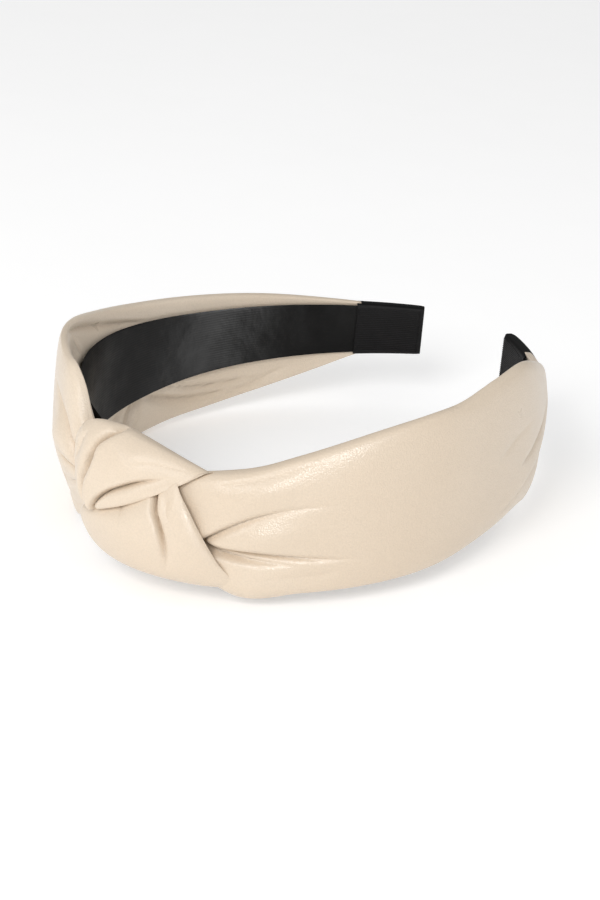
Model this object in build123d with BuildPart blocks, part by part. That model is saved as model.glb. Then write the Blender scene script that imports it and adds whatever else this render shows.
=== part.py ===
from build123d import *
import os
from math import cos, degrees, radians, sin

# Knotted headband, lying on its side on the lower rims of its cover.
# X runs from the left arm to the right arm, Y from the knot to the tips, and Z up
# across the width of the band. The base is z = 0 and the hoop is centred on X and Y.
# All sizes are in millimetres.

# Plan of one arm, along the face that touches the head: tangent arcs from the crown
# to the tip, as (radius, angle turned in degrees).
HOOP_ARCS = ((48.0, 40.0), (69.0, 46.5), (100.0, 57.5))
HOOP_LENGTH = sum(radius * radians(turn) for radius, turn in HOOP_ARCS)
CROWN_Y = -65.94       # the crown of that face, behind the knot
MID_Z = 25.0           # mid-height of the band

PIECE_GAP = 0.3        # between pieces that follow each other along the band
LAYER_GAP = 0.1        # between layers that lie on each other

# Layers through the band, as distances out from the face that touches the head.
LINING = (0.0, 0.5)
LIP = (0.6, 1.2)       # the cover's edges, turned in under the lining
CORE = (1.3, 3.1)
FOAM = (3.2, 5.3)
COVER_SKIN = 0.7
COVER = (LIP[0], FOAM[1] + LAYER_GAP + COVER_SKIN)
COVER_HOLLOW = (LIP[1], COVER[1] - COVER_SKIN)

# Stations along each arm, measured from the crown.
KNOT_END = 27.5        # the covers come out of the knot here
COVER_START = KNOT_END + PIECE_GAP
COVER_END = 170.0
FOAM_SETBACK = 4.0     # from the end of the cover to the foam inside it
FOAM_START = COVER_START + FOAM_SETBACK
FOAM_END = 158.0
SLEEVE_START = COVER_END + PIECE_GAP

# Side view of the layers, as (distance from the crown along Y, half of the width).
COVER_SIDE = ((-20, 14), (6, 14), (24, 25), (72, 25), (128, 10.5), (170, 8.5))
LINING_SIDE = ((-20, 13.2), (20, 13.2), (90, 9.2), (170, 5.8))
SIDE_BEND = 24.0       # radius of the bends in these outlines
CORE_MARGIN = -0.3     # the core is a little wider than the lining
LIP_MARGIN = 3.0       # the lining covers this much of each turned-in edge
FOAM_MARGIN = COVER_SKIN + 0.2
RIM_RADIUS = 2.0
RIM_MIN_LENGTH = 20.0  # only the cover's long edges, its rims, are rounded

# Black sleeves around the tips.
SLEEVE_WALL = 0.5
SLEEVE_MARGIN = CORE_MARGIN - LAYER_GAP - SLEEVE_WALL
STRIP_END = HOOP_LENGTH - SLEEVE_WALL - LAYER_GAP

# The knot bulges out between the arms, and a slanted plane cuts it into its two loops.
KNOT_FRONT = 18.0      # how far the knot stands out from the face that touches the head
KNOT_RADIUS = 19.5
KNOT_END_HALF = 15.5
KNOT_RISE = 1.0        # the knot's middle above mid-height
KNOT_SLANT = 32.0
KNOT_CROSS_X = 4.0
KNOT_OVERRUN = 2.0     # its outline runs on past its ends by this

# Shapes are drawn past the band by this much before they are cut to each other.
BELOW = 10.0
TALL = 80.0
WIDE = 110.0
SLOT_PAST = 1.0


def arm_frame(station):
    """Give the centre and radius of the arc at a station, and the heading there."""
    x, y, heading, left = 0.0, CROWN_Y, 0.0, station
    for radius, turn in HOOP_ARCS:
        centre = (x - radius * sin(heading), y + radius * cos(heading))
        step = min(left, radius * radians(turn))
        heading += step / radius
        left -= step
        if left <= 0:
            return centre, radius, heading
        x = centre[0] + radius * sin(heading)
        y = centre[1] - radius * cos(heading)
    return centre, radius, heading


def arm_point(station, out):
    """Give a point of the right arm, so far from the crown and so far out."""
    centre, radius, heading = arm_frame(station)
    reach = radius + out
    return (centre[0] + reach * sin(heading), centre[1] - reach * cos(heading))


def arm_curve(out, start, finish):
    """Draw the right arm's arcs between two stations, so far out."""
    joins = []
    reached = 0.0
    for radius, turn in HOOP_ARCS:
        reached += radius * radians(turn)
        if start < reached < finish:
            joins.append(reached)
    stations = [start] + joins + [finish]
    for first, last in zip(stations, stations[1:]):
        centre, radius, heading = arm_frame((first + last) / 2)
        sweep = degrees((last - first) / radius)
        CenterArc(centre, radius + out, degrees(heading) - 90 - sweep / 2, sweep)


def arm_plan(layer, start, finish):
    """Fill the plan of one layer of the right arm between two stations."""
    with BuildSketch() as plan:
        with BuildLine():
            for out in layer:
                arm_curve(out, start, finish)
            for station in (start, finish):
                Line(arm_point(station, layer[0]), arm_point(station, layer[1]))
        make_face()
    return plan.sketch


def side_view(profile, margin):
    """Fill a side view of the band, so far inside its profile."""
    upper = [(CROWN_Y + along, MID_Z + half - margin) for along, half in profile]
    with BuildSketch() as view:
        with BuildLine():
            top = FilletPolyline(*upper, radius=SIDE_BEND)
            bottom = mirror(top, about=Plane.XZ.offset(-MID_Z))
            Line(top @ 0, bottom @ 0)
            Line(top @ 1, bottom @ 1)
        make_face()
    return view.sketch


def arm_solid(layer, start, finish, profile, margin=0.0):
    """Make one layer of the right arm with square edges."""
    with BuildPart() as body:
        with BuildSketch(Plane.XY.offset(-BELOW)):
            add(arm_plan(layer, start, finish))
        extrude(amount=TALL)
        with BuildSketch(Plane.YZ):
            add(side_view(profile, margin))
        extrude(amount=WIDE, both=True, mode=Mode.INTERSECT)
    return body.part


def both_arms(arm):
    """Join an arm that starts at the crown to its mirror image."""
    with BuildPart() as hoop:
        add(arm)
        mirror(about=Plane.YZ)
    return hoop.part


def other_arm(piece):
    """Mirror a finished piece of the right arm to the left arm."""
    with BuildPart() as mirrored:
        mirror(piece, about=Plane.YZ)
    return mirrored.part


def save(piece, name):
    """Label a finished piece and write it to its own file."""
    piece.label = name
    export_step(piece, f"parts/{name}.step")


os.makedirs("parts", exist_ok=True)

# Core: one springy moulded strip from tip to tip, bent to the shape of a head.
with BuildPart() as core_hoop:
    add(both_arms(arm_solid(CORE, 0, STRIP_END, LINING_SIDE, CORE_MARGIN)))
save(core_hoop.part, "core_hoop")

# Lining: one satin ribbon along the face that touches the head.
with BuildPart() as lining_ribbon:
    add(both_arms(arm_solid(LINING, 0, STRIP_END, LINING_SIDE)))
save(lining_ribbon.part, "lining_ribbon")

# Foam: a soft strip in each arm, between the core and the cover.
with BuildPart() as foam_right:
    add(arm_solid(FOAM, FOAM_START, FOAM_END, COVER_SIDE, FOAM_MARGIN))
save(foam_right.part, "foam_right")
save(other_arm(foam_right.part), "foam_left")

# Cover: a strip wrapped around each arm, its edges turned in under the lining.
arm_hollow = arm_solid(COVER_HOLLOW, 0, HOOP_LENGTH, COVER_SIDE, COVER_SKIN)
arm_slot = arm_solid((LIP[0] - SLOT_PAST, LIP[1]), 0, HOOP_LENGTH, LINING_SIDE, LIP_MARGIN)
with BuildPart() as cover_right:
    add(arm_solid(COVER, COVER_START, COVER_END, COVER_SIDE))
    rims = cover_right.edges().filter_by(lambda edge: edge.length > RIM_MIN_LENGTH)
    fillet(rims, RIM_RADIUS)
    add(arm_hollow, mode=Mode.SUBTRACT)
    add(arm_slot, mode=Mode.SUBTRACT)
save(cover_right.part, "cover_right")
save(other_arm(cover_right.part), "cover_left")

# Sleeve: black ribbon wrapped around each tip and closed over its end.
sleeve_space = (LINING[0] - LAYER_GAP, CORE[1] + LAYER_GAP)
sleeve_outside = (sleeve_space[0] - SLEEVE_WALL, sleeve_space[1] + SLEEVE_WALL)
sleeve_end = HOOP_LENGTH - SLEEVE_WALL
tip_space = arm_solid(sleeve_space, COVER_END, sleeve_end, LINING_SIDE, CORE_MARGIN - LAYER_GAP)
with BuildPart() as end_sleeve_right:
    add(arm_solid(sleeve_outside, SLEEVE_START, HOOP_LENGTH, LINING_SIDE, SLEEVE_MARGIN))
    add(tip_space, mode=Mode.SUBTRACT)
save(end_sleeve_right.part, "end_sleeve_right")
save(other_arm(end_sleeve_right.part), "end_sleeve_left")

# Knot: the two loops where the cover strips pass through each other.
knot_z = MID_Z + KNOT_RISE
knot_front_y = CROWN_Y - KNOT_FRONT
knot_end_x, knot_end_y = arm_point(KNOT_END, COVER[1])
knot_space = (LIP[1], CORE[1] + LAYER_GAP)
knot_hollow = arm_solid(knot_space, 0, HOOP_LENGTH, LINING_SIDE, CORE_MARGIN - LAYER_GAP)
with BuildPart() as knot_body:
    with BuildSketch(Plane.XY.offset(-BELOW)):
        with BuildLine():
            front = ThreePointArc(
                (-knot_end_x, knot_end_y), (0, knot_front_y), (knot_end_x, knot_end_y)
            )
            Polyline(front @ 0, (-WIDE, 0), (WIDE, 0), front @ 1)
        make_face()
        with BuildSketch(mode=Mode.INTERSECT):
            add(arm_plan((LIP[0], 2 * KNOT_FRONT), 0, KNOT_END))
            mirror(about=Plane.YZ)
    extrude(amount=TALL)
    with BuildSketch(Plane.YZ):
        with Locations((knot_front_y + KNOT_RADIUS, knot_z)):
            Circle(KNOT_RADIUS)
            Rectangle(WIDE, 2 * KNOT_RADIUS, align=(Align.MIN, Align.CENTER))
    extrude(amount=WIDE, both=True, mode=Mode.INTERSECT)
    with BuildSketch(Plane.XZ):
        with BuildLine():
            top = ThreePointArc(
                (-knot_end_x - KNOT_OVERRUN, knot_z + KNOT_END_HALF),
                (0, knot_z + KNOT_RADIUS),
                (knot_end_x + KNOT_OVERRUN, knot_z + KNOT_END_HALF),
            )
            bottom = mirror(top, about=Plane.XZ.offset(-knot_z))
            Line(top @ 0, bottom @ 0)
            Line(top @ 1, bottom @ 1)
        make_face()
    extrude(amount=-WIDE, both=True, mode=Mode.INTERSECT)
    add(both_arms(knot_hollow), mode=Mode.SUBTRACT)
    add(both_arms(arm_slot), mode=Mode.SUBTRACT)

crossing = Plane(
    origin=(KNOT_CROSS_X, CROWN_Y, MID_Z),
    x_dir=(cos(radians(KNOT_SLANT)), 0, sin(radians(KNOT_SLANT))),
    z_dir=(-sin(radians(KNOT_SLANT)), 0, cos(radians(KNOT_SLANT))),
)
for name, side in (("knot_loop_upper", Keep.TOP), ("knot_loop_lower", Keep.BOTTOM)):
    with BuildPart() as knot_loop:
        add(knot_body.part)
        split(bisect_by=crossing, keep=side)
    save(knot_loop.part, name)
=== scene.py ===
import math
import bmesh
import bpy
import numpy as np
from bpy.props import FloatProperty, FloatVectorProperty, PointerProperty
from mathutils import Matrix, Vector


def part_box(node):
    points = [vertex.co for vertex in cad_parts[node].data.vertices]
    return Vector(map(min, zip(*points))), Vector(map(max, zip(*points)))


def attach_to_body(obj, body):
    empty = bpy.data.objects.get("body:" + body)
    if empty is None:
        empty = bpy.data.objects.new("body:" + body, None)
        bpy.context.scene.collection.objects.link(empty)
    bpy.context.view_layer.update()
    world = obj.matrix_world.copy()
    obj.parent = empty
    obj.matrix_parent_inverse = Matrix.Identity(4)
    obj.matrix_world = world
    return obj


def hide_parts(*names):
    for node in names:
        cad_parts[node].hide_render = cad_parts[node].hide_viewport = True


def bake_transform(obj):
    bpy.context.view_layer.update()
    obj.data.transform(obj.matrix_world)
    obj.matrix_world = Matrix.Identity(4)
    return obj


bl_info = {
    "name": "Knotted Headband",
    "version": (1, 0, 0),
    "blender": (4, 5, 0),
    "location": "View3D > Sidebar > Headband",
    "description": "Builds a padded headband with a front knot around its fixed frame",
    "category": "Add Mesh",
}

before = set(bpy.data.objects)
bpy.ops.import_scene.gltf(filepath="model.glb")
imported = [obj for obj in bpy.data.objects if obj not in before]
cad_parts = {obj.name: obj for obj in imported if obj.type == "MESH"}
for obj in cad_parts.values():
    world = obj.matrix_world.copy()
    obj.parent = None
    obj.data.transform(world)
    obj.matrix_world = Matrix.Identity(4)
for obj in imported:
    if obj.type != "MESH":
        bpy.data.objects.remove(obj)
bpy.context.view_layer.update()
MM = 0.001

# The frame gives the place of the hoop. Lengths below are in millimetres.
LINING_LOW, LINING_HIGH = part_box("lining_ribbon")
LINING_THICKNESS = 0.5
CROWN_Y = LINING_LOW[1] / MM + LINING_THICKNESS
MID_Z = (LINING_LOW[2] + LINING_HIGH[2]) / 2 / MM
HOOP_ARCS = ((48.0, 40.0), (69.0, 46.5), (100.0, 57.5))
HOOP_LENGTH = sum(radius * math.radians(turn) for radius, turn in HOOP_ARCS)

# Stations along an arm, from the crown.
STRIP_END = HOOP_LENGTH - 0.8    # core and lining end here, inside the sleeves
COVER_END = 170.3
DENSE_END = 62.0         # rows lie closer together up to here, where the folds are
SLEEVE_START = 169.0

# Layers through the band, as distances out from the head.
LINING_LAYERS = (0.0, LINING_THICKNESS)
CORE_LAYERS = (1.7, 3.0)
SLEEVE_LAYERS = (-0.5, 3.6)
FOAM_INNER = 3.05
SLEEVE_WALL = 0.4
CORE_MARGIN = 1.6        # the lining reaches past the core by this on either side
SLEEVE_MARGIN = 0.75     # and the sleeve reaches past the lining by this

# Half of the lining's width along each arm. It narrows behind the knot.
LINING_HALF = {
    "left": ((0, 8), (10, 8.5), (18, 11.5), (28, 13.2), (75, 13), (92, 11.8),
             (115, 10), (150, 8.3), (190, 6.8)),
    "right": ((0, 8), (22, 7.5), (30, 9), (45, 12), (75, 12.4), (92, 11.8),
              (115, 10), (150, 8.3), (190, 6.8)),
}

# The foam in an arm: how far out and how far up and down it reaches, along the arm.
FOAM_START = 32.0
FOAM_END = 138.0
FOAM_OUTER = ((32, 4.5), (100, 4.1), (120, 3.8), (138, 3.3))
FOAM_HALF = ((32, 8), (45, 11), (90, 11), (120, 9), (138, 6.5))
# How close to the head a fold may press the outer face: it can't sink into foam and core.
FOLD_LIMIT = ((0, 3.8), (26, 3.8), (34, 5.3), (100, 4.9), (120, 4.6), (138, 4.1), (170.3, 3.8))
FLOOR_GAP = 0.1 * MM     # cloth that rests on the floor lies flat on it


# ---------------------------------------------------------------- shapes

def smooth(knots, at):
    """Reads a smooth curve through a few (place, value) points."""
    knots = np.asarray(knots, float)
    x, y = knots[:, 0], knots[:, 1:]
    slope = np.gradient(y, x, axis=0)
    at = np.clip(np.asarray(at, float), x[0], x[-1])
    i = np.clip(np.searchsorted(x, at, side="right") - 1, 0, len(x) - 2)
    h = x[i + 1] - x[i]
    t = ((at - x[i]) / h)[..., None]
    h = h[..., None]
    value = (
        (2 * t**3 - 3 * t**2 + 1) * y[i]
        + (t**3 - 2 * t**2 + t) * h * slope[i]
        + (3 * t**2 - 2 * t**3) * y[i + 1]
        + (t**3 - t**2) * h * slope[i + 1]
    )
    return value[..., 0] if value.shape[-1] == 1 else value


def band(along, out, up, side=1):
    """Places points of the band: along from the crown, out from the head, up from mid-height."""
    along, out, up = np.broadcast_arrays(*(np.asarray(v, float) for v in (along, out, up)))
    hand = np.where(along < 0, -1.0, 1.0) * side
    left = np.abs(along)
    x = np.zeros_like(left)
    y = np.full_like(left, CROWN_Y)
    heading = np.zeros_like(left)
    for k, (radius, turn) in enumerate(HOOP_ARCS):
        length = radius * math.radians(turn)
        step = left if k == len(HOOP_ARCS) - 1 else np.minimum(left, length)
        centre_x = x - radius * np.sin(heading)
        centre_y = y + radius * np.cos(heading)
        heading = heading + step / radius
        x = centre_x + radius * np.sin(heading)
        y = centre_y - radius * np.cos(heading)
        left = left - step
    x = x + out * np.sin(heading)
    y = y - out * np.cos(heading)
    return np.stack([hand * x, y, MID_Z + up], -1) * MM


def grid_normals(points, closed):
    """Unit normals of a grid of points, closed round its second direction or open."""
    du = np.gradient(points, axis=0)
    if closed:
        dv = (np.roll(points, -1, 1) - np.roll(points, 1, 1)) / 2
    else:
        dv = np.gradient(points, axis=1)
    normal = np.cross(du, dv)
    return normal / (np.linalg.norm(normal, axis=-1, keepdims=True) + 1e-12)


def line_distance(x, y, line):
    """Distance from points to a line of points, signed by side, and how far along it."""
    line = np.asarray(line, float)
    best = np.full(x.shape, 1e9)
    signed = np.zeros(x.shape)
    along = np.zeros(x.shape)
    count = len(line) - 1
    for k in range(count):
        ax, ay = line[k]
        bx, by = line[k + 1] - line[k]
        t = np.clip(((x - ax) * bx + (y - ay) * by) / (bx * bx + by * by), 0, 1)
        dx, dy = x - ax - t * bx, y - ay - t * by
        d = np.hypot(dx, dy)
        near = d < best
        best = np.where(near, d, best)
        signed = np.where(near, np.sign(bx * dy - by * dx) * d, signed)
        along = np.where(near, (k + t) / count, along)
    return signed, along


def crease(x, y, line, depth, width, lift=0.0, reach=3.0, grow=2.5, hold=0.3):
    """Height of a fold line: a sharp groove that fades and widens along its length.

    The cloth on one side of it stands up by lift, to the left of the line if lift is positive.
    The fold is full up to hold, as a share of its length. A hold of 0 makes a slit, full in its middle.
    """
    dense = smooth([(i, *p) for i, p in enumerate(line)], np.linspace(0, len(line) - 1, 40))
    signed, along = line_distance(x, y, dense)
    if hold:
        wide = width * (1 + (grow - 1) * along)
        strength = np.clip((1 - along) / (1 - hold), 0, 1)
        strength = strength * strength * (3 - 2 * strength)
    else:
        strength = np.sin(math.pi * along) ** 0.8
        wide = width * (0.4 + strength)
    groove = -depth * np.exp(-np.abs(signed) / wide)
    beyond = np.maximum(signed * np.sign(lift), 0)
    roll = abs(lift) * (1 - np.exp(-beyond / wide)) * np.exp(-beyond / reach)
    return (groove + roll) * strength


def swelling(x, y, place, radius, height, turn=0.0):
    """Height of a soft round swelling, or of a hollow where its height is negative."""
    dx, dy = x - place[0], y - place[1]
    c, s = math.cos(math.radians(turn)), math.sin(math.radians(turn))
    u, v = (dx * c + dy * s) / radius[0], (dy * c - dx * s) / radius[1]
    return height * np.exp(-(u * u + v * v))


def new_piece(name, verts, faces, material):
    """Makes a smooth-shaded mesh object at the origin."""
    mesh = bpy.data.meshes.new(name)
    mesh.from_pydata([tuple(v) for v in verts], [], faces)
    mesh.validate()
    bm = bmesh.new()
    bm.from_mesh(mesh)
    bmesh.ops.recalc_face_normals(bm, faces=bm.faces)
    bm.to_mesh(mesh)
    bm.free()
    mesh.polygons.foreach_set("use_smooth", [True] * len(mesh.polygons))
    obj = bpy.data.objects.new(name, mesh)
    bpy.context.scene.collection.objects.link(obj)
    mesh.materials.append(material)
    return obj


def grid_faces(rows, cols, closed, start=0, flip=False):
    """Quads between the rows of a grid of points."""
    faces = []
    for i in range(rows - 1):
        for j in range(cols if closed else cols - 1):
            k = (j + 1) % cols
            quad = (i * cols + j, i * cols + k, (i + 1) * cols + k, (i + 1) * cols + j)
            quad = tuple(start + q for q in quad)
            faces.append(quad[::-1] if flip else quad)
    return faces


def closed_tube(name, points, material):
    """A closed loft: a grid closed round its sections, with both ends filled."""
    rows, cols = points.shape[:2]
    verts = points.reshape(-1, 3)
    faces = grid_faces(rows, cols, True)
    ends = [points[0].mean(0), points[-1].mean(0)]
    verts = np.concatenate([verts, ends])
    for end, row in ((rows * cols, 0), (rows * cols + 1, rows - 1)):
        for j in range(cols):
            faces.append((end, row * cols + j, row * cols + (j + 1) % cols))
    return new_piece(name, verts, faces, material)


def add_ribbon_uv(piece, rows, cols):
    """A UV map whose U runs along the ribbon and V round it, for the direction of its threads."""
    layer = piece.data.uv_layers.new(name="ribbon")
    vertex = np.empty(len(piece.data.loops), int)
    piece.data.loops.foreach_get("vertex_index", vertex)
    u, v = np.divmod(np.minimum(vertex, rows * cols - 1), cols)
    layer.data.foreach_set("uv", np.stack([u / (rows - 1), v / cols], -1).astype(np.float32).ravel())


def thick_sheet(name, points, normal, thickness, material):
    """A sheet of cloth of even thickness, its back face set in along the given normals."""
    rows, cols = points.shape[:2]
    back = points - normal * thickness * MM
    count = rows * cols
    verts = np.concatenate([points.reshape(-1, 3), back.reshape(-1, 3)])
    faces = grid_faces(rows, cols, False) + grid_faces(rows, cols, False, count, True)
    edge = list(range(cols))
    edge += [i * cols + cols - 1 for i in range(1, rows)]
    edge += [(rows - 1) * cols + j for j in range(cols - 2, -1, -1)]
    edge += [i * cols for i in range(rows - 2, 0, -1)]
    for a, b in zip(edge, edge[1:] + edge[:1]):
        faces.append((a, b, b + count, a + count))
    return new_piece(name, verts, faces, material)


# ---------------------------------------------------------------- materials

def linear(rgb):
    """Turns a screen colour into the linear one that shaders use."""
    return [c / 12.92 if c <= 0.04045 else ((c + 0.055) / 1.055) ** 2.4 for c in rgb] + [1.0]


class Nodes:
    """A short way to write a material's nodes."""

    def __init__(self, name):
        old = bpy.data.materials.get(name)
        if old:
            bpy.data.materials.remove(old)
        self.material = bpy.data.materials.new(name)
        self.material.use_nodes = True
        self.tree = self.material.node_tree
        self.shader = self.tree.nodes["Principled BSDF"]
        self.place = self.add("ShaderNodeTexCoord").outputs["Object"]

    def add(self, kind, values=None, **settings):
        node = self.tree.nodes.new(kind)
        for key, value in settings.items():
            setattr(node, key, value)
        for key, value in (values or {}).items():
            if hasattr(value, "is_output"):
                self.tree.links.new(value, node.inputs[key])
            else:
                node.inputs[key].default_value = value
        return node

    def noise(self, scale, detail=2.0, rough=0.5, vector=None):
        values = {"Vector": vector or self.place, "Scale": scale, "Detail": detail, "Roughness": rough}
        return self.add("ShaderNodeTexNoise", values).outputs["Fac"]

    def ramp(self, value, low, high, to_low=0.0, to_high=1.0):
        values = {"Value": value, "From Min": low, "From Max": high, "To Min": to_low, "To Max": to_high}
        return self.add("ShaderNodeMapRange", values).outputs["Result"]

    def mix(self, factor, a, b):
        node = self.add("ShaderNodeMix", data_type="RGBA")
        for key, value in ((0, factor), (6, a), (7, b)):
            if hasattr(value, "is_output"):
                self.tree.links.new(value, node.inputs[key])
            else:
                node.inputs[key].default_value = value
        return node.outputs[2]

    def maths(self, operation, a, b=0.0):
        return self.add("ShaderNodeMath", {0: a, 1: b}, operation=operation).outputs[0]

    def bump(self, height, distance, strength=1.0, under=None):
        values = {"Height": height, "Distance": distance, "Strength": strength}
        if under is not None:
            values["Normal"] = under
        return self.add("ShaderNodeBump", values).outputs["Normal"]

    def finish(self, **inputs):
        for key, value in inputs.items():
            socket = self.shader.inputs[key.replace("_", " ")]
            if hasattr(value, "is_output"):
                self.tree.links.new(value, socket)
            else:
                socket.default_value = value
        return self.material


def leather_material(name, props):
    """Soft faux leather: fine pebbled grain with painted shade in its valleys, faint mottling and a low
    satin gloss.
    """
    n = Nodes(name)
    light = linear(props.leather_colour)
    deep = linear([c * f for c, f in zip(props.leather_colour, (0.972, 0.96, 0.945))])
    patches = n.ramp(n.noise(14, 2), 0.35, 0.65)
    cells = n.add("ShaderNodeTexVoronoi", {
        "Vector": n.place, "Scale": 1 / (props.grain_size * MM), "Randomness": 0.8})
    pebble = n.ramp(cells.outputs["Distance"], 0.0, 0.7, 1.0, 0.0)
    pores = n.noise(5200, 2)
    height = n.maths("ADD", pebble, n.maths("MULTIPLY", pores, 0.35))
    soft = n.bump(n.noise(55, 2), 0.0004, 0.12)
    grain = n.bump(height, props.grain_depth * MM, 1.0, soft)
    colour = n.mix(patches, light, deep)
    # Painted shade: the valleys between the pebbles of the grain are darkened, as if less light reached
    # into them.
    valley_shade = n.ramp(pebble, 0.0, 0.45, 0.14, 0.0)
    grain_with_painted_shade = n.mix(valley_shade, colour, linear([c * 0.84 for c in props.leather_colour]))
    rough = n.ramp(n.noise(45, 4), 0.3, 0.7, 0.27, 0.37)
    return n.finish(
        Base_Color=grain_with_painted_shade, Roughness=rough, Normal=grain, Specular_IOR_Level=0.36,
        Sheen_Weight=0.05, Sheen_Roughness=0.4,
    )


def satin_material(name, props):
    """Black satin ribbon: a fine weave whose threads stretch the sheen across the ribbon."""
    n = Nodes(name)
    weave = n.add("ShaderNodeTexWave", {
        "Vector": n.place, "Scale": 420.0, "Distortion": 0.6, "Detail": 1.0},
        bands_direction="Z").outputs["Fac"]
    rubbed = n.ramp(n.noise(70, 5, 0.65), 0.45, 0.75)
    worn = linear([c + 0.03 for c in props.lining_colour])
    colour = n.mix(rubbed, linear(props.lining_colour), worn)
    rough = n.ramp(n.noise(110, 4), 0.3, 0.7, 0.36, 0.5)
    relief = n.bump(weave, 0.00003, 0.5, n.bump(n.noise(130, 4), 0.0005, 0.6))
    threads = n.add("ShaderNodeTangent", direction_type="UV_MAP", uv_map="ribbon").outputs["Tangent"]
    return n.finish(
        Base_Color=colour, Roughness=rough, Normal=relief, Specular_IOR_Level=0.1,
        Anisotropic=0.8, Anisotropic_Rotation=0.25, Tangent=threads,
        Sheen_Weight=0.02, Sheen_Roughness=0.35,
    )


def ribbon_material(name, props):
    """Matte black ribbed ribbon: threads across the ribs and a dusty sheen."""
    n = Nodes(name)
    threads = n.noise(2600, 2)
    dusty = n.ramp(n.noise(140, 4), 0.4, 0.75)
    dust = linear([c + 0.025 for c in props.ribbon_colour])
    colour = n.mix(dusty, linear(props.ribbon_colour), dust)
    rough = n.ramp(threads, 0.3, 0.7, 0.55, 0.72)
    relief = n.bump(threads, 0.00006, 0.6)
    return n.finish(
        Base_Color=colour, Roughness=rough, Normal=relief, Specular_IOR_Level=0.18,
        Sheen_Weight=0.04, Sheen_Roughness=0.5,
    )


def plastic_material(name):
    """Moulded plastic with faint flow marks and a fine matte skin."""
    n = Nodes(name)
    flow = n.noise(45, 3)
    colour = n.mix(flow, linear((0.86, 0.86, 0.84)), linear((0.8, 0.8, 0.79)))
    rough = n.ramp(n.noise(300, 2), 0.3, 0.7, 0.4, 0.52)
    relief = n.bump(n.noise(1800, 2), 0.00002, 0.5)
    return n.finish(Base_Color=colour, Roughness=rough, Normal=relief)


def foam_material(name):
    """Open foam: small cells with a pale, uneven skin."""
    n = Nodes(name)
    cells = n.add("ShaderNodeTexVoronoi", {"Vector": n.place, "Scale": 900.0}).outputs["Distance"]
    colour = n.mix(n.noise(60, 3), linear((0.93, 0.9, 0.82)), linear((0.88, 0.84, 0.74)))
    relief = n.bump(cells, 0.0003, 0.8)
    return n.finish(Base_Color=colour, Roughness=n.ramp(cells, 0.0, 0.6, 0.95, 0.85), Normal=relief)


def floor_material(name):
    """A plain white light table, barely mottled."""
    n = Nodes(name)
    colour = n.mix(n.noise(6, 2), linear((0.985, 0.985, 0.985)), linear((0.975, 0.975, 0.975)))
    return n.finish(
        Base_Color=colour, Roughness=n.ramp(n.noise(40, 2), 0.3, 0.7, 0.85, 0.9),
        Emission_Color=(1, 1, 1, 1), Emission_Strength=0.16,
    )


# ---------------------------------------------------------------- the covers

# Outline of each arm's cover: (along, up) of its top rim and (along, down) of its bottom rim.
# Then how far out from the head its rims and the middle of its outer face stand, how far out
# the flaps turn in from the rims, and how much the lower half leans out instead of bulging.
ARMS = {
    "right": {
        "side": 1,
        "top": ((8, 7.5), (22, 10.5), (30, 12.3), (40, 15.8), (60, 21.6), (74, 23.7), (84, 24.2),
                (100, 26), (115, 26.2), (130, 21.5), (145, 15.5), (158, 11.2), (170.3, 9.2)),
        "bottom": ((8, 12), (20, 18), (27, 21.7), (42, 20.7), (60, 19.9), (80, 18.8), (114, 17),
                   (134, 16.6), (150, 11.6), (170.3, 8)),
        "rim": ((8, 4), (24, 4.6), (60, 3.8), (76, 3.4), (92, 1.6), (120, 1.2), (170.3, 0.8)),
        "middle": ((8, 7.5), (22, 9), (35, 8.2), (60, 7.2), (100, 5.9), (125, 5.5), (140, 4.7),
                   (155, 4.2), (170.3, 3.8)),
        "roll": ((8, 3), (30, 1), (60, -0.6), (170.3, -0.9)),
        "lean": ((8, 0), (170.3, 0)),
    },
    "left": {
        "side": -1,
        "top": ((2, 7), (8, 9), (12, 10.5), (15, 14), (18, 20), (22, 23.6), (30, 24.6), (45, 24.4),
                (57, 23.2), (76, 19.5), (91, 17.1), (111, 14.8), (139, 12), (161, 9.4), (170.3, 8.4)),
        "bottom": ((2, 8), (9, 9), (14, 11), (20, 15), (30, 21), (42, 24.2), (52, 24.7), (92, 24.4),
                   (108, 23), (121, 21.9), (135, 19.6), (148, 16.4), (157, 13.5), (170.3, 8.2)),
        "rim": ((2, 5), (16, 4.6), (30, 5.2), (45, 5.2), (70, 4), (120, 3), (170.3, 1.6)),
        "middle": ((2, 9.2), (14, 9.4), (22, 9.0), (30, 8.0), (40, 7.4), (55, 7.2), (80, 6.4),
                   (120, 5.4), (145, 4.7), (158, 4.2), (170.3, 3.8)),
        "roll": ((2, 4), (20, 3.8), (30, 2.8), (52, 2.2), (68, 0.4), (90, -0.9), (170.3, -0.9)),
        "lean": ((2, 0), (10, 0.3), (18, 1), (48, 1), (90, 0), (170.3, 0)),
    },
}

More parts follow.
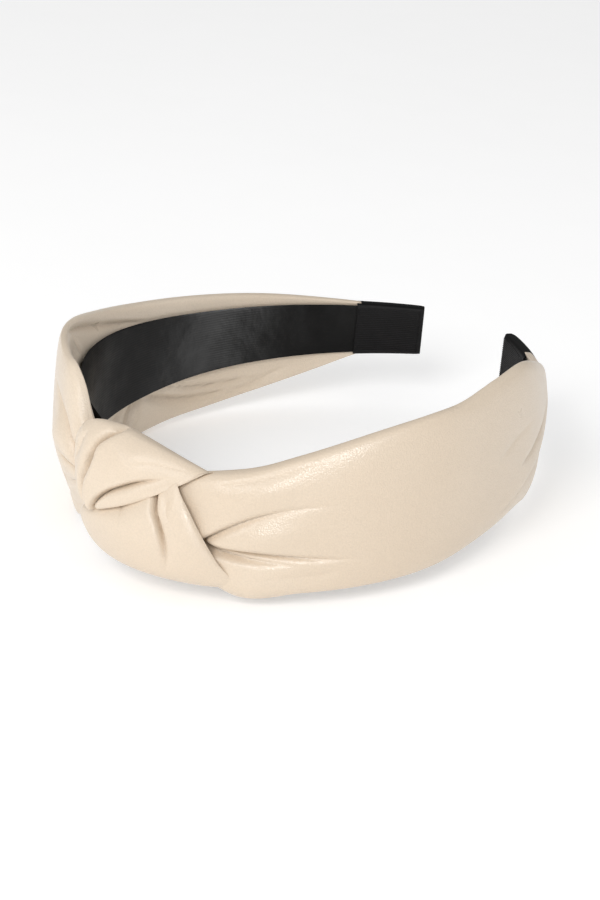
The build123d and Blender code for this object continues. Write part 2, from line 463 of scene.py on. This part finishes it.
# Fold lines on the outer faces: (along, up) points, depth, width, lift of the raised side,
# its reach, and the hold, as crease() takes them.
OUTER_FOLDS = {
    "right": (
        (((17, -9.5), (20, -6.5), (25, -2.4), (31.5, 1.2), (40, 3.6), (55, 5)), 2.8, 0.4, 0.8, 4, 0.2),
        (((17, -8.4), (22, -8.3), (28, -8.7), (36, -9.6), (48, -10.6), (58, -11)),
         3.8, 0.36, 0.9, 4, 0.3),
        (((18, -9), (24, -9.7), (31, -10.9), (43, -12.4)), 3.0, 0.36, -0.9, 4, 0.4),
        (((22, 8), (32, 11), (44, 15)), 0.5, 1.2, 0.3, 3, 0),
        (((150, 7), (142, 3), (134, -2), (126, -6), (116, -9), (104, -13)), 2.2, 0.8, -2.2, 5, 0),
        (((142, 9), (129, 3), (120, 0), (112, -1)), 1.2, 1.2, -0.7, 5, 0),
        (((99, 5), (107, 8), (119, 10)), 0.5, 1.5, -0.3, 4, 0),
        (((30, -16), (48, -15), (72, -15.5)), 0.4, 1.8, 0.4, 4, 0),
    ),
    "left": (
        (((13, 1), (17.5, 7), (21.5, 11), (27, 13.5), (36, 17)), 4.0, 0.6, 0.9, 2.5, 0.45),
        (((12, -1), (17, 0), (25, 1), (36, 2)), 2.0, 0.6, 0.8, 4, 0.3),
        (((12, -4), (18, -6), (27, -9), (38, -12)), 1.8, 0.8, -0.8, 4, 0.3),
        (((60, 6), (80, 2), (104, 1)), 0.5, 1.8, 0.3, 5, 0),
    ),
}
# Swellings and hollows on the outer faces: place, radii, height and turn.
OUTER_SWELLINGS = {
    "right": (
        ((18.8, -8.2), (2.8, 1.3), -3.8, 0), ((31, -4.5), (9, 4), 1.2, 8),
        ((31, -17.5), (9, 3.5), 0.9, -4), ((30, 7.5), (9, 3.5), 0.8, 20),
        ((128, -12), (12, 4), 0.8, 40),
    ),
    "left": (
        ((14, 4), (2.2, 3), -2.5, 0), ((24.5, 5), (6, 4.5), 1.3, 0), ((20, -5), (5, 4), 0.6, 0),
    ),
}

# Fold lines on the turned-in flaps, in the same terms but for the hold: they all have none.
INNER_FOLDS = {
    "right": (
        (((70, -19), (84, -16), (100, -13.5)), 1.0, 0.9, 0.6, 3),
        (((96, 20), (112, 19), (126, 15)), 0.9, 1.0, 0.5, 3),
    ),
    "left": (
        (((44, 24.5), (58, 20.8), (74, 16), (94, 11.5)), 2.2, 0.8, 1.4, 4),
        (((46, 25), (52, 19), (59, 11.5)), 2.0, 0.7, -1.2, 4),
        (((88, -24), (91, -17), (95, -10)), 3.2, 1.0, -2.0, 5),
        (((92, -10.5), (104, -15), (116, -17.5), (134, -17)), 2.4, 0.8, 1.6, 4),
        (((104, -11.5), (120, -14.6), (140, -14.4)), 1.8, 0.7, 1.0, 3),
        (((70, -22), (80, -18.5), (88, -12)), 2.2, 1.0, 1.6, 4),
        (((122, -20.5), (138, -16), (150, -11)), 1.2, 0.9, 0.7, 3),
    ),
}

FACE_COLUMNS = 160       # points across the outer face
FLAP_COLUMNS = 24        # points across each flap
LIP = (0.95, 2.5)        # how far out the flaps end, and how far in under the lining
# Gathers where the cover goes into the sleeve: their length, pitch and height.
END_GATHERS = (9, 3.4, 0.35)


def cover_points(arm, face=FACE_COLUMNS, flap=FLAP_COLUMNS):
    """The outer face of a cover strip, from lip to lip round the band.

    Also gives two weights, which say how much the folds of the outer face and of the flaps show.
    """
    shape = ARMS[arm]
    start = shape["top"][0][0]
    along = np.concatenate([np.arange(start, DENSE_END, 0.5), np.linspace(DENSE_END, COVER_END, 92)])
    top, bottom = smooth(shape["top"], along), smooth(shape["bottom"], along)
    rim, middle = smooth(shape["rim"], along), smooth(shape["middle"], along)
    roll, lean = smooth(shape["roll"], along), np.clip(smooth(shape["lean"], along), 0, 1)
    lining = smooth(LINING_HALF[arm], along)
    v = np.linspace(1, -1, face)
    v = 0.55 * np.sin(v * math.pi / 2) + 0.45 * v
    full = (1 - v * v) ** 0.32
    low_rim = rim * (1 - lean)
    sections = []
    for k in range(len(along)):
        round_part = rim[k] + (middle[k] - rim[k]) * full
        leaning = low_rim[k] + (middle[k] - low_rim[k]) * (1 - np.abs(v) ** 1.3)
        out = np.where(v < 0, round_part + lean[k] * (leaning - round_part), round_part)
        outer = np.stack([out, np.where(v > 0, top[k], bottom[k]) * v], -1)
        flaps = []
        for sign, edge, edge_out in ((1, top[k], rim[k]), (-1, bottom[k], low_rim[k])):
            inner_edge = min(lining[k], edge - 1.0)
            depth = np.clip((edge - inner_edge - 3) / 8, 0, 1)
            turn_out = min(roll[k], edge_out - 0.6)
            hollow = 1.4 + 2.2 * depth
            if sign > 0:
                hollow = max(hollow, turn_out)
            ends = np.array([
                (edge_out, sign * edge),
                (turn_out, sign * (edge + 0.2)),
                (hollow, sign * (inner_edge + 0.5 * (edge - inner_edge))),
                (LIP[0], sign * (inner_edge - LIP[1])),
            ])
            t = np.linspace(0, 1, flap + 1)[1:, None]
            flaps.append((1 - t) ** 3 * ends[0] + 3 * t * (1 - t) ** 2 * ends[1]
                         + 3 * t**2 * (1 - t) * ends[2] + t**3 * ends[3])
        sections.append(np.concatenate([flaps[0][::-1], outer, flaps[1]]))
    sections = np.array(sections)
    weight = np.zeros(sections.shape[1])
    weight[flap:-flap] = np.clip((1 - np.abs(v)) / 0.1, 0, 1)
    flap_weight = np.zeros(sections.shape[1])
    bump = np.clip(np.sin(np.linspace(0, math.pi, flap)) * 1.6, 0, 1)
    flap_weight[:flap], flap_weight[-flap:] = bump, bump
    return along[:, None] + 0 * sections[..., 0], sections[..., 0], sections[..., 1], weight, flap_weight


def gathers(along, up, start, end, pitch, height):
    """Small pleats that run along the band and fade out from start to end."""
    strength = np.clip((end - along) / (end - start), 0, 1) ** 1.5
    return height * strength * np.cos(up * 2 * math.pi / pitch + 0.9 * np.sin(up * 0.9))


def flap_room(out, up, thickness, flap=FLAP_COLUMNS):
    """How far a flap may be pressed outwards before it meets the back of the outer face."""
    room = np.zeros_like(out)
    for k in range(len(out)):
        face_out = np.interp(up[k], up[k, flap:-flap][::-1], out[k, flap:-flap][::-1])
        room[k] = np.maximum(face_out - out[k] - 2 * thickness - 0.3, 0)
    return room


def make_cover(arm, props, material):
    """One arm's cover strip, as a sheet with its folds."""
    along, out, up, outer, inner = cover_points(arm)
    points = band(along, out, up, ARMS[arm]["side"])
    normal = grid_normals(points, False)
    centre = along.shape[1] // 2
    if np.mean(np.sum(normal[:, centre, :2] * points[:, centre, :2], -1)) < 0:
        normal = -normal
    height = np.zeros_like(along)
    for line, depth, width, lift, reach, hold in OUTER_FOLDS[arm]:
        height += outer * crease(along, up, line, depth, width, lift, reach, hold=hold)
    for place, radius, rise, turn in OUTER_SWELLINGS[arm]:
        height += outer * swelling(along, up, place, radius, rise, turn)
    for line, depth, width, lift, reach in INNER_FOLDS[arm]:
        height += inner * crease(along, up, line, depth, width, lift, reach, hold=0)
    length, pitch, rise = END_GATHERS
    height += outer * gathers(-along, up, -COVER_END, length - COVER_END, pitch, rise)
    room = np.minimum(smooth(FOLD_LIMIT, along) - out, 0)
    height = np.where(outer > 0, np.maximum(height, room), height)
    room = flap_room(out, up, props.leather_thickness)
    height = np.where(inner > 0, np.maximum(height, -room), height)
    points = points + normal * height[..., None] * MM
    points[..., 2] = np.maximum(points[..., 2], FLOOR_GAP)
    return thick_sheet(f"cover_{arm}_strip", points, normal, props.leather_thickness, material), points


# ---------------------------------------------------------------- the knot

# Each loop is lofted across sections from its hidden start, over the front, to its hidden end.
# A section has a left and a right edge as (along, up, out), then how far and which way it bulges.
LOOPS = {
    "knot_loop_lower": (
        ((-1, 3, 5), (12, 11, 5.8), (0, 0, 1.0)),
        ((-7, -4.5, 8.8), (14.2, 7.0, 9.6), (0, 0, 1.8)),
        ((-10.8, -8, 9.2), (17.0, 2.5, 11.2), (0, -1.4, 4.5)),
        ((-10, -12, 8), (20.2, -4.4, 11.0), (0, -3.4, 5.0)),
        ((-7.4, -15.0, 6.5), (23.6, -11.3, 10.0), (0, -4.1, 3.8)),
        ((-3, -16.2, 4.8), (27.2, -17.2, 7.6), (0, -3.3, 0.8)),
        ((0, -15.8, 2.6), (26, -18.6, 4.5), (0, -2.4, -0.8)),
        ((2, -13.8, 1.2), (23.5, -15.5, 1.6), (0, -0.9, -0.8)),
        ((4, -9, 0.9), (21, -9, 0.9), (0, 0, -0.2)),
    ),
    "knot_loop_upper": (
        ((-2, 1, 7.5), (14.5, 8.0, 6.4), (0, 0, 1.6)),
        ((-4.4, -3.4, 11.4), (18.2, 10.0, 7.0), (0, -1.8, 4.4)),
        ((-9.5, -3.0, 10.6), (19.6, 10.4, 5.8), (0, -0.4, 6.8)),
        ((-12.4, 4.0, 9.4), (20.6, 10.2, 4.6), (0, 1.4, 7.8)),
        ((-13.6, 10.0, 8.6), (21.0, 9.6, 3.9), (0, 3.8, 6.6)),
        ((-12.0, 13.8, 7.2), (21.0, 9.0, 3.5), (0, 5.2, 3.2)),
        ((-8, 14.6, 4.8), (20.6, 8.6, 3.0), (0, 4.0, -0.2)),
        ((-4, 13.0, 2.2), (19.5, 8, 2.0), (0, 2.0, -1.0)),
        ((-1, 7.5, 0.9), (18, 7.0, 0.9), (0, 0, -0.2)),
    ),
}
# How steeply each loop rises from its left edge, and how gently it falls to its right edge.
LOOP_RISE = {"knot_loop_lower": (3.2, 2.8, 0.55), "knot_loop_upper": (3.0, 1.4, 0.8)}

# Fold lines and swellings on the front of each loop, in the same terms as the covers'.
KNOT_FOLDS = {
    "knot_loop_lower": (
        (((9.4, 5), (10.6, 0.8), (12.2, -3.5), (13.3, -9), (13.5, -17)), 4.0, 0.3, -0.5, 3, 0.5),
        (((12.6, 3.5), (13.2, 0.5), (15, -3), (17, -8)), 0.8, 0.9, 0.2, 3, 0.3),
        (((2, 2), (3, -3), (5, -9)), 0.7, 1.2, 0.3, 3, 0.3),
        (((17, 4), (19.5, -1), (22, -7), (24, -13)), 0.6, 1.4, 0.3, 2, 0.5),
    ),
    "knot_loop_upper": (
        (((-3.8, -5), (-2.6, -1.4), (-0.2, 1.8), (3.4, 4.6), (7.2, 6.8), (13, 8.8)),
         3.0, 0.26, 0.8, 5, 0.6),
        (((-5, -4), (-6.7, -0.2), (-6.4, 3.9), (-5.3, 8.8), (-4.7, 12.4), (-2.2, 15.8), (1.3, 18.2)),
         3.2, 0.36, -1.2, 4, 0.8),
        (((-10.5, 6), (-10.2, 10), (-8.5, 14)), 1.0, 0.8, 0.3, 2, 0),
        (((4, 10), (9, 11), (15, 10.5)), 0.5, 1.3, 0.3, 3, 0),
    ),
}
KNOT_SWELLINGS = {
    "knot_loop_lower": (((5, -7), (7, 4), 0.6, -15), ((18, -5), (3, 7), 0.4, 20)),
    "knot_loop_upper": (
        ((4, 2.6), (6, 2.0), 0.9, 32), ((5, 11), (7, 4), 0.8, 15),
        ((-5.9, 7.2), (0.9, 2.6), -2.8, -12), ((-7.0, 1.2), (0.8, 2.4), -2.6, 4),
    ),
}


def loop_points(name, rows=220, front=190, back=44):
    """One loop of the knot as a grid of points, closed round its sections."""
    stations = np.array([[*left, *right, *bulge] for left, right, bulge in LOOPS[name]], float)
    knots = [(k, *values) for k, values in enumerate(stations)]
    values = smooth(knots, np.linspace(0, len(stations) - 1, rows))
    left, right, bulge = values[:, None, 0:3], values[:, None, 3:6], values[:, None, 6:9]
    rise, fall, ease = LOOP_RISE[name]
    t = (1 - np.cos(np.linspace(0, math.pi, front)))[None, :, None] / 2
    crown = np.sqrt(1 - (1 - t) ** rise) * (1 - t**fall) ** ease
    face = left + (right - left) * t + bulge * crown
    t = (1 + np.cos(np.linspace(0, math.pi, back + 2)[1:-1]))[None, :, None] / 2
    crown = (1 - np.abs(2 * t - 1) ** 2.0) ** 0.7
    under = left + (right - left) * t - 0.55 * bulge * crown
    grid = np.concatenate([face, under], 1)
    mask = np.concatenate([np.ones(front), np.zeros(back)])
    return grid, mask


def make_loop(name, material):
    """One puffed loop of the knot, with the folds pressed into its front."""
    grid, mask = loop_points(name)
    along, up, out = (grid[..., k] for k in range(3))
    points = band(along, out, up)
    normal = grid_normals(points, True)
    middle = grid.shape[1] // 3
    outward = points[len(points) // 3, middle] - np.array([0, CROWN_Y * MM, MID_Z * MM])
    if np.dot(normal[len(points) // 3, middle], outward) < 0:
        normal = -normal
    height = np.zeros(grid.shape[:2])
    for line, depth, width, lift, reach, hold in KNOT_FOLDS[name]:
        height += crease(along, up, line, depth, width, lift, reach, grow=1.8, hold=hold)
    for place, radius, rise, turn in KNOT_SWELLINGS[name]:
        height += swelling(along, up, place, radius, rise, turn)
    front = mask[None, :] * np.clip((out - 4) / 3, 0, 1)
    points = points + normal * (height * front)[..., None] * MM
    return closed_tube(name + "_fold", points, material)


# ---------------------------------------------------------------- ribbon, core and foam

def strip_points(start, end, rows, inner, outer, half, side, cols=24):
    """A flat strip along an arm with rounded edges, as a closed grid."""
    along = np.linspace(start, end, rows)
    halves = smooth(half, along)
    angle = np.linspace(0, 2 * math.pi, cols, endpoint=False)
    c, s = np.cos(angle), np.sin(angle)
    thick = (outer - inner) / 2
    across = np.sign(s) * np.abs(s) ** 0.25
    through = np.sign(c) * np.abs(c) ** 0.5
    up = halves[:, None] * across[None, :]
    out = (inner + outer) / 2 + thick * through[None, :] + 0 * up
    return band(along[:, None] + 0 * up, out, up, side)


def attach(piece, arm, slot, *nodes):
    """Bakes a piece's placement into its mesh and hides the frame parts that it stands in for."""
    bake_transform(piece)
    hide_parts(*nodes)


def sleeve_points(arm, wall=0.0, rows=60, cols=220):
    """The ribbon sleeve round one tip, squared off, or the face inside its wall."""
    along = np.linspace(SLEEVE_START, HOOP_LENGTH - wall, rows)
    half = smooth(LINING_HALF[arm], along) + SLEEVE_MARGIN - wall
    angle = np.linspace(0, 2 * math.pi, cols, endpoint=False)
    c, s = np.cos(angle), np.sin(angle)
    up = half[:, None] * (np.sign(s) * np.abs(s) ** 0.16)[None, :]
    inner, outer = SLEEVE_LAYERS[0] + wall, SLEEVE_LAYERS[1] - wall
    pinch = (1 - np.clip((along - along[-1] + 3) / 3, 0, 1) ** 3 * 0.35)[:, None]
    through = (np.sign(c) * np.abs(c) ** 0.4)[None, :]
    out = (inner + outer) / 2 + pinch * (outer - inner) / 2 * through + 0 * up
    return band(along[:, None] + 0 * up, out, up, ARMS[arm]["side"])


def make_sleeve(arm, wall, material):
    """A sleeve of wrapped ribbon: open towards the cover and closed at the tip."""
    outside, inside = sleeve_points(arm), sleeve_points(arm, wall)
    rows, cols = outside.shape[:2]
    count = rows * cols
    ends = [outside[-1].mean(0), inside[-1].mean(0)]
    verts = np.concatenate([outside.reshape(-1, 3), inside.reshape(-1, 3), ends])
    faces = grid_faces(rows, cols, True) + grid_faces(rows, cols, True, count, True)
    last = (rows - 1) * cols
    for j in range(cols):
        k = (j + 1) % cols
        faces.append((j, k, k + count, j + count))
        faces.append((2 * count, last + j, last + k))
        faces.append((2 * count + 1, count + last + k, count + last + j))
    return new_piece(f"end_sleeve_{arm}_wrap", verts, faces, material)


def rib_tree(material):
    """Geometry nodes that repeat one rib up the width of a ribbon."""
    tree = bpy.data.node_groups.new("ribbon_ribs", "GeometryNodeTree")
    face = tree.interface
    face.new_socket("Geometry", in_out="INPUT", socket_type="NodeSocketGeometry")
    face.new_socket("Rib count", in_out="INPUT", socket_type="NodeSocketInt")
    face.new_socket("Rib pitch", in_out="INPUT", socket_type="NodeSocketFloat")
    face.new_socket("Geometry", in_out="OUTPUT", socket_type="NodeSocketGeometry")
    nodes, link = tree.nodes, tree.links.new
    given, result = nodes.new("NodeGroupInput"), nodes.new("NodeGroupOutput")
    less = nodes.new("ShaderNodeMath")
    less.operation = "SUBTRACT"
    less.inputs[1].default_value = 1.0
    link(given.outputs["Rib count"], less.inputs[0])
    reach = nodes.new("ShaderNodeMath")
    reach.operation = "MULTIPLY"
    link(less.outputs[0], reach.inputs[0])
    link(given.outputs["Rib pitch"], reach.inputs[1])
    low = nodes.new("ShaderNodeMath")
    low.operation = "MULTIPLY"
    low.inputs[1].default_value = -0.5
    link(reach.outputs[0], low.inputs[0])
    first, step = nodes.new("ShaderNodeCombineXYZ"), nodes.new("ShaderNodeCombineXYZ")
    link(low.outputs[0], first.inputs["Z"])
    link(given.outputs["Rib pitch"], step.inputs["Z"])
    line = nodes.new("GeometryNodeMeshLine")
    link(given.outputs["Rib count"], line.inputs["Count"])
    link(first.outputs[0], line.inputs["Start Location"])
    link(step.outputs[0], line.inputs["Offset"])
    copies = nodes.new("GeometryNodeInstanceOnPoints")
    link(line.outputs["Mesh"], copies.inputs["Points"])
    link(given.outputs["Geometry"], copies.inputs["Instance"])
    real = nodes.new("GeometryNodeRealizeInstances")
    link(copies.outputs["Instances"], real.inputs["Geometry"])
    paint = nodes.new("GeometryNodeSetMaterial")
    paint.inputs["Material"].default_value = material
    link(real.outputs["Geometry"], paint.inputs["Geometry"])
    link(paint.outputs["Geometry"], result.inputs["Geometry"])
    return tree


def make_ribs(arm, props, material):
    """The ribs along both faces of a sleeve, repeated from one pair."""
    angle = np.linspace(0, 2 * math.pi, 6, endpoint=False)
    along = np.linspace(SLEEVE_START + 0.3, HOOP_LENGTH - 1.2, 26)[:, None] + 0 * angle
    pair = []
    for out in SLEEVE_LAYERS:
        rib_out = out + props.rib_height * np.cos(angle)
        points = band(along, rib_out, 0.32 * props.rib_pitch * np.sin(angle), ARMS[arm]["side"])
        pair.append(closed_tube("rib", points, material))
    mesh = bmesh.new()
    for rib in pair:
        mesh.from_mesh(rib.data)
        bpy.data.objects.remove(rib)
    single = bpy.data.meshes.new("rib_pair")
    mesh.to_mesh(single)
    mesh.free()
    holder = bpy.data.objects.new("rib_pair", single)
    bpy.context.scene.collection.objects.link(holder)
    modifier = holder.modifiers.new("ribs", "NODES")
    modifier.node_group = rib_tree(material)
    sockets = {item.name: item.identifier for item in modifier.node_group.interface.items_tree
               if item.in_out == "INPUT"}
    half = float(smooth(LINING_HALF[arm], HOOP_LENGTH))
    modifier[sockets["Rib count"]] = 2 * int((half - 0.2) / props.rib_pitch) + 1
    modifier[sockets["Rib pitch"]] = props.rib_pitch * MM
    bpy.context.view_layer.update()
    mesh = bpy.data.meshes.new_from_object(holder.evaluated_get(bpy.context.evaluated_depsgraph_get()))
    bpy.data.objects.remove(holder)
    mesh.polygons.foreach_set("use_smooth", [True] * len(mesh.polygons))
    obj = bpy.data.objects.new(f"end_sleeve_{arm}_ribs", mesh)
    bpy.context.scene.collection.objects.link(obj)
    return obj


# ---------------------------------------------------------------- settings

class HeadbandSettings(bpy.types.PropertyGroup):
    """Sizes and colours of the headband."""

    leather_colour: FloatVectorProperty(
        name="Leather colour", description="Colour of the cover and knot", subtype="COLOR_GAMMA",
        size=3, min=0, max=1, default=(0.867, 0.808, 0.733))
    lining_colour: FloatVectorProperty(
        name="Lining colour", description="Colour of the satin ribbon inside", subtype="COLOR_GAMMA",
        size=3, min=0, max=1, default=(0.045, 0.042, 0.04))
    ribbon_colour: FloatVectorProperty(
        name="Sleeve colour", description="Colour of the ribbed ribbon round the tips",
        subtype="COLOR_GAMMA", size=3, min=0, max=1, default=(0.055, 0.05, 0.053))
    grain_size: FloatProperty(
        name="Grain size", description="Width of one pebble of the leather grain, in millimetres",
        default=0.48, min=0.1, max=5)
    grain_depth: FloatProperty(
        name="Grain depth", description="Height of the leather grain, in millimetres",
        default=0.05, min=0, max=1)
    leather_thickness: FloatProperty(
        name="Leather thickness", description="Thickness of the cover strip, in millimetres",
        default=0.7, min=0.2, max=2)
    rib_pitch: FloatProperty(
        name="Rib pitch", description="Distance between the ribs of the sleeve ribbon, in millimetres",
        default=0.6, min=0.3, max=3)
    rib_height: FloatProperty(
        name="Rib height", description="Height of the ribs of the sleeve ribbon, in millimetres",
        default=0.07, min=0.02, max=0.5)


class StageSettings(bpy.types.PropertyGroup):
    """Camera and light."""

    camera_azimuth: FloatProperty(
        name="Camera azimuth", description="Direction the camera looks from, in degrees",
        default=35.1)
    camera_elevation: FloatProperty(
        name="Camera elevation", description="Camera's height above the horizon, in degrees",
        default=23.4)
    camera_roll: FloatProperty(
        name="Camera roll", description="Turn of the camera about its line of sight, in degrees",
        default=4.8)
    camera_distance: FloatProperty(
        name="Camera distance", description="From the camera to its target",
        default=0.5497, unit="LENGTH")
    camera_lens: FloatProperty(
        name="Lens", description="Focal length in millimetres",
        default=80.0, subtype="DISTANCE_CAMERA")
    camera_target: FloatVectorProperty(
        name="Camera target", description="Point that the camera looks at", size=3, unit="LENGTH",
        default=(1.65 * MM, (CROWN_Y + 64.13) * MM, (MID_Z - 9.69) * MM))
    key_power: FloatProperty(
        name="Key light", description="Power of the large overhead light, in watts", default=5.4)
    glint_power: FloatProperty(
        name="Glint light", description="Power of the small light that picks out the grain, in watts",
        default=9.0)
    back_power: FloatProperty(
        name="Back light", description="Power of the light behind, which shows in the satin, in watts",
        default=16.0)
    world_strength: FloatProperty(
        name="Surroundings", description="Brightness of the white surroundings", default=0.72)


# ---------------------------------------------------------------- operators

class HEADBAND_OT_covers(bpy.types.Operator):
    """Build the faux-leather cover strip of each arm"""

    bl_idname = "headband.covers"
    bl_label = "Covers"

    def execute(self, context):
        props = context.scene.headband
        material = leather_material("cream_faux_leather", props)
        for arm in ("left", "right"):
            piece, points = make_cover(arm, props, material)
            attach(piece, arm, "cover", f"cover_{arm}")
        return {"FINISHED"}


class HEADBAND_OT_knot(bpy.types.Operator):
    """Build the two crossing loops of the knot"""

    bl_idname = "headband.knot"
    bl_label = "Knot"

    def execute(self, context):
        material = leather_material("cream_knot_leather", context.scene.headband)
        for name in LOOPS:
            piece = make_loop(name, material)
            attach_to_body(piece, "crown")
            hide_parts(name)
        return {"FINISHED"}


class HEADBAND_OT_inside(bpy.types.Operator):
    """Build the springy core and the foam inside each arm"""

    bl_idname = "headband.inside"
    bl_label = "Core and foam"

    def execute(self, context):
        plastic = plastic_material("moulded_core")
        foam = foam_material("pale_foam")
        for arm in ("left", "right"):
            side = ARMS[arm]["side"]
            core_half = [(x, h - CORE_MARGIN) for x, h in LINING_HALF[arm]]
            points = strip_points(0, STRIP_END, 160, *CORE_LAYERS, core_half, side)
            core = closed_tube(f"core_{arm}_half", points, plastic)
            attach(core, arm, "core", "core_hoop")
            stations = np.linspace(FOAM_START, FOAM_END, 120)
            outer = smooth(FOAM_OUTER, stations)[:, None]
            points = strip_points(
                FOAM_START, FOAM_END, len(stations), FOAM_INNER, outer, FOAM_HALF, side)
            pad = closed_tube(f"foam_{arm}_pad", points, foam)
            attach(pad, arm, "foam", f"foam_{arm}")
        return {"FINISHED"}


class HEADBAND_OT_lining(bpy.types.Operator):
    """Build the satin ribbon that lines the inside"""

    bl_idname = "headband.lining"
    bl_label = "Lining"

    def execute(self, context):
        satin = satin_material("black_satin", context.scene.headband)
        for arm in ("left", "right"):
            side = ARMS[arm]["side"]
            points = strip_points(
                0, STRIP_END, 240, *LINING_LAYERS, LINING_HALF[arm], side, cols=64)
            piece = closed_tube(f"lining_{arm}_half", points, satin)
            add_ribbon_uv(piece, *points.shape[:2])
            attach(piece, arm, "lining", "lining_ribbon")
        return {"FINISHED"}


class HEADBAND_OT_sleeves(bpy.types.Operator):
    """Build the ribbed ribbon sleeve round each tip"""

    bl_idname = "headband.sleeves"
    bl_label = "Tip sleeves"

    def execute(self, context):
        props = context.scene.headband
        ribbon = ribbon_material("black_ribbed_ribbon", props)
        for arm in ("left", "right"):
            wrap = make_sleeve(arm, SLEEVE_WALL, ribbon)
            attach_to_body(wrap, f"{arm}_arm")
            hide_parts(f"end_sleeve_{arm}")
            ribs = make_ribs(arm, props, ribbon)
            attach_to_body(ribs, f"{arm}_arm")
            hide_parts(f"end_sleeve_{arm}")
        return {"FINISHED"}


class HEADBAND_OT_stage(bpy.types.Operator):
    """Set up the pale floor, the soft lights and the camera"""

    bl_idname = "headband.stage"
    bl_label = "Stage"

    def execute(self, context):
        props = context.scene.headband_stage
        floor = new_piece("studio_floor", [(-3, -3, 0), (3, -3, 0), (3, 3, 0), (-3, 3, 0)],
                          [(0, 1, 2, 3)], floor_material("studio_paper"))
        world = bpy.data.worlds.new("studio_surroundings")
        world.use_nodes = True
        background = world.node_tree.nodes["Background"]
        background.inputs["Color"].default_value = (1, 1, 1, 1)
        background.inputs["Strength"].default_value = props.world_strength
        world.cycles_visibility.glossy = False
        context.scene.world = world
        # The back light catches only the satin, so it stays out of the leather.
        satin = bpy.data.collections.new("satin")
        for arm in ("left", "right"):
            satin.objects.link(bpy.data.objects[f"lining_{arm}_half"])
        for name, place, size, power, gloss_only in (
            ("key_light", (0.22, -0.86, 0.62), 0.45, props.key_power, False),
            ("glint_light", (0.85, -0.5, 0.3), 0.2, props.glint_power, True),
            ("back_light", (0.58, 0.27, 0.28), 0.22, props.back_power, True),
        ):
            light = bpy.data.lights.new(name, "AREA")
            light.size = size
            light.energy = power
            lamp = bpy.data.objects.new(name, light)
            if name == "back_light":
                lamp.light_linking.receiver_collection = satin
            lamp.location = place
            lamp.rotation_euler = (-Vector(place)).to_track_quat("-Z", "Y").to_euler()
            lamp.visible_diffuse = not gloss_only
            context.scene.collection.objects.link(lamp)
        azimuth, elevation, roll = (math.radians(a) for a in (
            props.camera_azimuth, props.camera_elevation, props.camera_roll))
        back = Vector((math.sin(azimuth) * math.cos(elevation),
                       -math.cos(azimuth) * math.cos(elevation), math.sin(elevation)))
        right = Vector((math.cos(azimuth), math.sin(azimuth), 0))
        up = back.cross(right)
        across = right * math.cos(roll) + up * math.sin(roll)
        above = up * math.cos(roll) - right * math.sin(roll)
        lens = bpy.data.cameras.new("studio_camera")
        lens.sensor_width = 36
        lens.lens = props.camera_lens
        camera = bpy.data.objects.new("studio_camera", lens)
        place = Vector(props.camera_target) + back * props.camera_distance
        camera.matrix_world = Matrix((
            (across.x, above.x, back.x, place.x), (across.y, above.y, back.y, place.y),
            (across.z, above.z, back.z, place.z), (0, 0, 0, 1)))
        context.scene.collection.objects.link(camera)
        context.scene.camera = camera
        context.scene.view_settings.view_transform = "Standard"
        return {"FINISHED"}


OPERATORS = (
    HEADBAND_OT_inside, HEADBAND_OT_covers, HEADBAND_OT_knot, HEADBAND_OT_lining,
    HEADBAND_OT_sleeves, HEADBAND_OT_stage,
)


class HEADBAND_PT_panel(bpy.types.Panel):
    """Lists the headband's pieces"""

    bl_idname = "HEADBAND_PT_panel"
    bl_label = "Knotted Headband"
    bl_space_type = "VIEW_3D"
    bl_region_type = "UI"
    bl_category = "Headband"

    def draw(self, context):
        for operator in OPERATORS:
            self.layout.operator(operator.bl_idname)
        for name in HeadbandSettings.__annotations__:
            self.layout.prop(context.scene.headband, name)
        for name in StageSettings.__annotations__:
            self.layout.prop(context.scene.headband_stage, name)


CLASSES = (HeadbandSettings, StageSettings, *OPERATORS, HEADBAND_PT_panel)


def register():
    """Adds the headband's settings, operators and panel to Blender."""
    for cls in CLASSES:
        bpy.utils.register_class(cls)
    bpy.types.Scene.headband = PointerProperty(type=HeadbandSettings)
    bpy.types.Scene.headband_stage = PointerProperty(type=StageSettings)


def unregister():
    """Takes them away again."""
    del bpy.types.Scene.headband_stage
    del bpy.types.Scene.headband
    for cls in reversed(CLASSES):
        bpy.utils.unregister_class(cls)


def main():
    """Builds the headband and its stage."""
    register()
    for operator in OPERATORS:
        group, name = operator.bl_idname.split(".")
        getattr(getattr(bpy.ops, group), name)()


if __name__ == "__main__":
    main()
